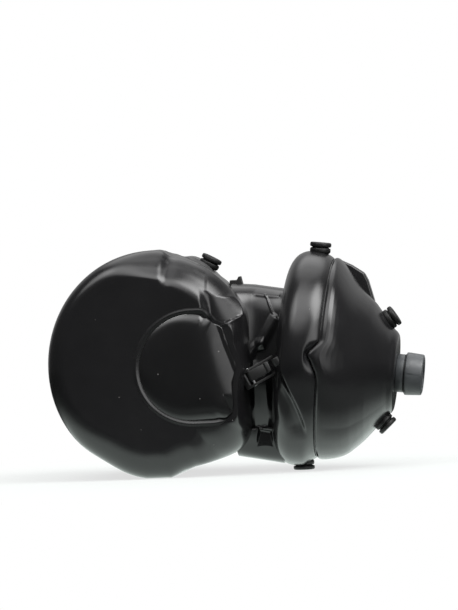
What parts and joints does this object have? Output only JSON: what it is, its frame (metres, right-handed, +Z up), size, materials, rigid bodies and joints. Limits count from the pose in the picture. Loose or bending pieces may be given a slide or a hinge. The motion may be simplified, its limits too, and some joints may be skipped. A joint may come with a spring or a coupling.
{
  "type": "smoke hood",
  "caption": "Moulded smoke hood with a raised window, stretch neck seal, short boot and conical filter chamber ending in a turning hose coupling, with rubber harness studs and side clips.",
  "frame": {"origin": "centre of the bounding box at floor level, with the hood lying on its side as in the picture", "axes": "+X along the length from the hood to the hose coupling, -Y is the side with the window, +Y the side with the head opening, +Z up"},
  "size_m": [0.4084, 0.232, 0.2504],
  "materials": {
    "black_shell": "satin moulded black",
    "dark_visor": "near-black gloss window",
    "black_fitting": "matt black",
    "black_rubber": "matt black rubber",
    "seal_rubber": "soft black rubber",
    "grey_coupling": "mid grey",
    "filter_felt": "pressed filter felt",
    "pin_steel": "plain steel pin"
  },
  "bodies": {
    "hood": {"hood_front_shell": "black_shell", "hood_rear_shell": "black_shell", "neck_boot": "black_shell", "chamber_rim": "black_shell", "chamber_cone": "black_shell", "harness_lug": "black_shell", "visor": "dark_visor", "visor_seal": "seal_rubber", "neck_seal": "seal_rubber", "neck_seal_ring": "black_fitting", "chamber_gasket": "seal_rubber", "filter_grid_outlet": "black_fitting", "filter_element": "filter_felt", "filter_grid_inlet": "black_fitting", "spigot": "grey_coupling", "spigot_nut": "grey_coupling", "coupling_ring": "seal_rubber", "valve_seat": "grey_coupling", "stud_hood": "black_rubber", "stud_rim_top": "black_rubber", "stud_rim_foot": "black_rubber", "stud_cone_top": "black_rubber", "stud_cone_bottom": "black_rubber", "clip_front_bracket": "black_fitting", "clip_front_pin": "pin_steel", "clip_front_catch": "black_fitting", "clip_rear_bracket": "black_fitting", "clip_rear_pin": "pin_steel", "clip_rear_catch": "black_fitting", "lanyard_cleat": "black_fitting"},
    "collar": {"coupling_collar": "grey_coupling"},
    "clip_front": {"clip_front_lever": "black_fitting"},
    "clip_rear": {"clip_rear_lever": "black_fitting"},
    "valve": {"valve_flap": "seal_rubber"}
  },
  "joints": [
    {"name": "collar_turn", "type": "hinge", "parent": "hood", "child": "collar", "pos_m": [0.1917, 0, 0.09963], "axis": [0.9919, 0, -0.1271], "range_deg": [0, 90]},
    {"name": "clip_front_swing", "type": "hinge", "parent": "hood", "child": "clip_front", "pos_m": [0.0203, -0.084, 0.1073], "axis": [0.454, 0, -0.891], "range_deg": [0, 95]},
    {"name": "clip_rear_swing", "type": "hinge", "parent": "hood", "child": "clip_rear", "pos_m": [0.0203, 0.089, 0.1073], "axis": [-0.454, 0, 0.891], "range_deg": [0, 95]},
    {"name": "valve_lift", "type": "slide", "parent": "hood", "child": "valve", "axis": [-0.9919, 0, 0.1271], "range_m": [0, 0.003], "stiffness_N_per_m": 20}
  ]
}
